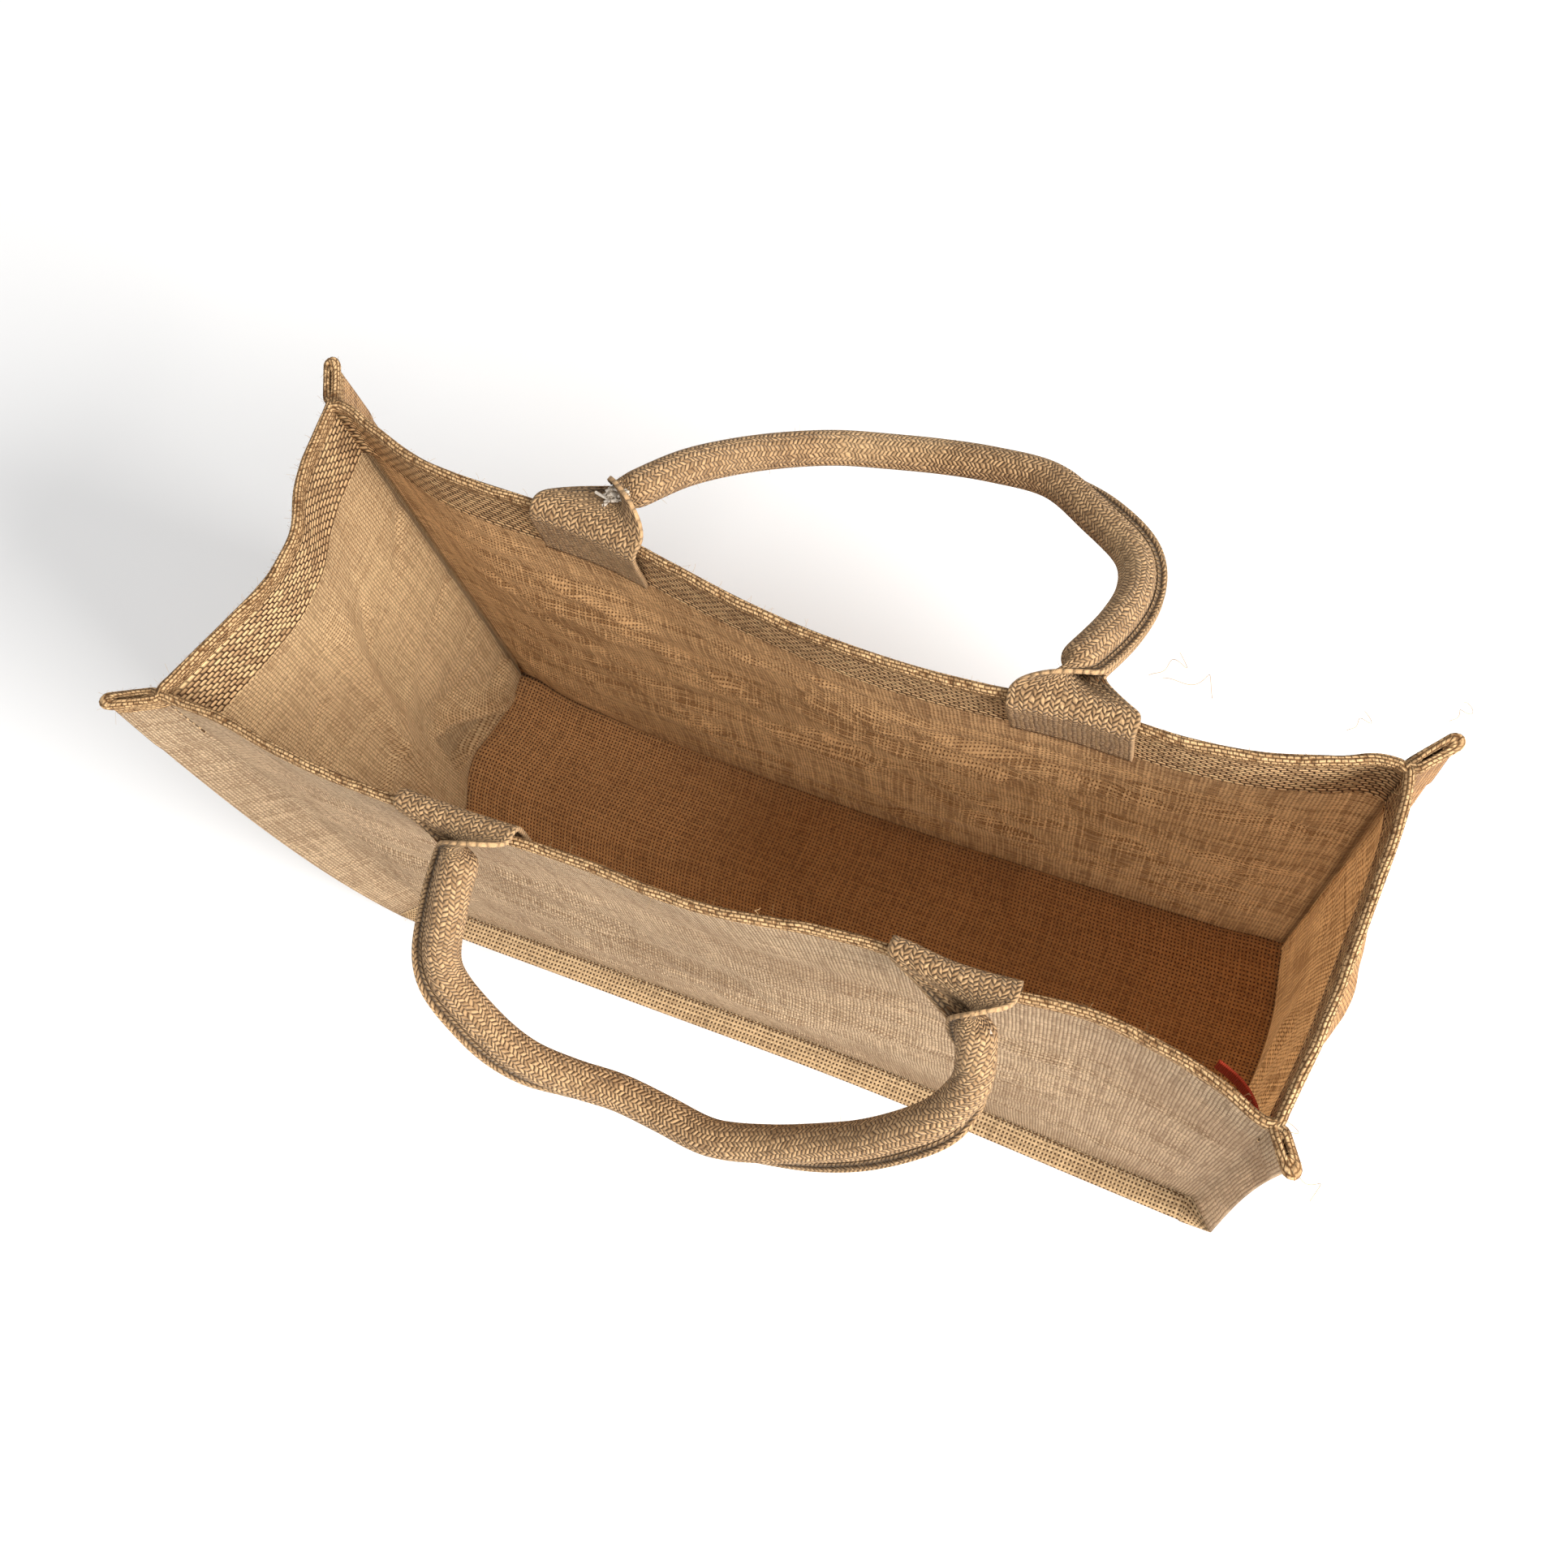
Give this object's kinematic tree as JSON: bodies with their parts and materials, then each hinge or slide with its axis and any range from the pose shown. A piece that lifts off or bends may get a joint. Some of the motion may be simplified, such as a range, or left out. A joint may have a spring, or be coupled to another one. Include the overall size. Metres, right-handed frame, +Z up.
{
  "type": "jute tote bag",
  "caption": "Open jute tote bag with a gusseted box shape, turned and sewn corner seams, a wide rim hem and rope-filled webbing handles.",
  "frame": {"origin": "middle of the base, on the surface that the bag stands on", "axes": "+Z up, +X along the long side of the bag, +Y from the front panel to the back panel"},
  "size_m": [0.5042, 0.3269, 0.3296],
  "materials": {
    "jute_front": "plain woven jute, pale tan, matt",
    "jute_gusset": "plain woven jute, tan, matt",
    "jute_back": "plain woven jute, mid brown, matt with a faint sheen inside",
    "jute_base": "coarse woven jute, brown, matt",
    "webbing": "thick jute webbing with a raised herringbone weave, matt",
    "rope": "grey twisted cotton rope, matt",
    "ribbon": "plain red woven ribbon, matt"
  },
  "bodies": {
    "root": {"front_panel": "jute_front", "gusset_right": "jute_gusset", "back_panel": "jute_back", "gusset_left": "jute_gusset", "base_panel": "jute_base", "handle_front": "webbing", "rope_core_front": "rope", "handle_back": "webbing", "rope_core_back": "rope", "side_tag": "ribbon"}
  },
  "joints": []
}
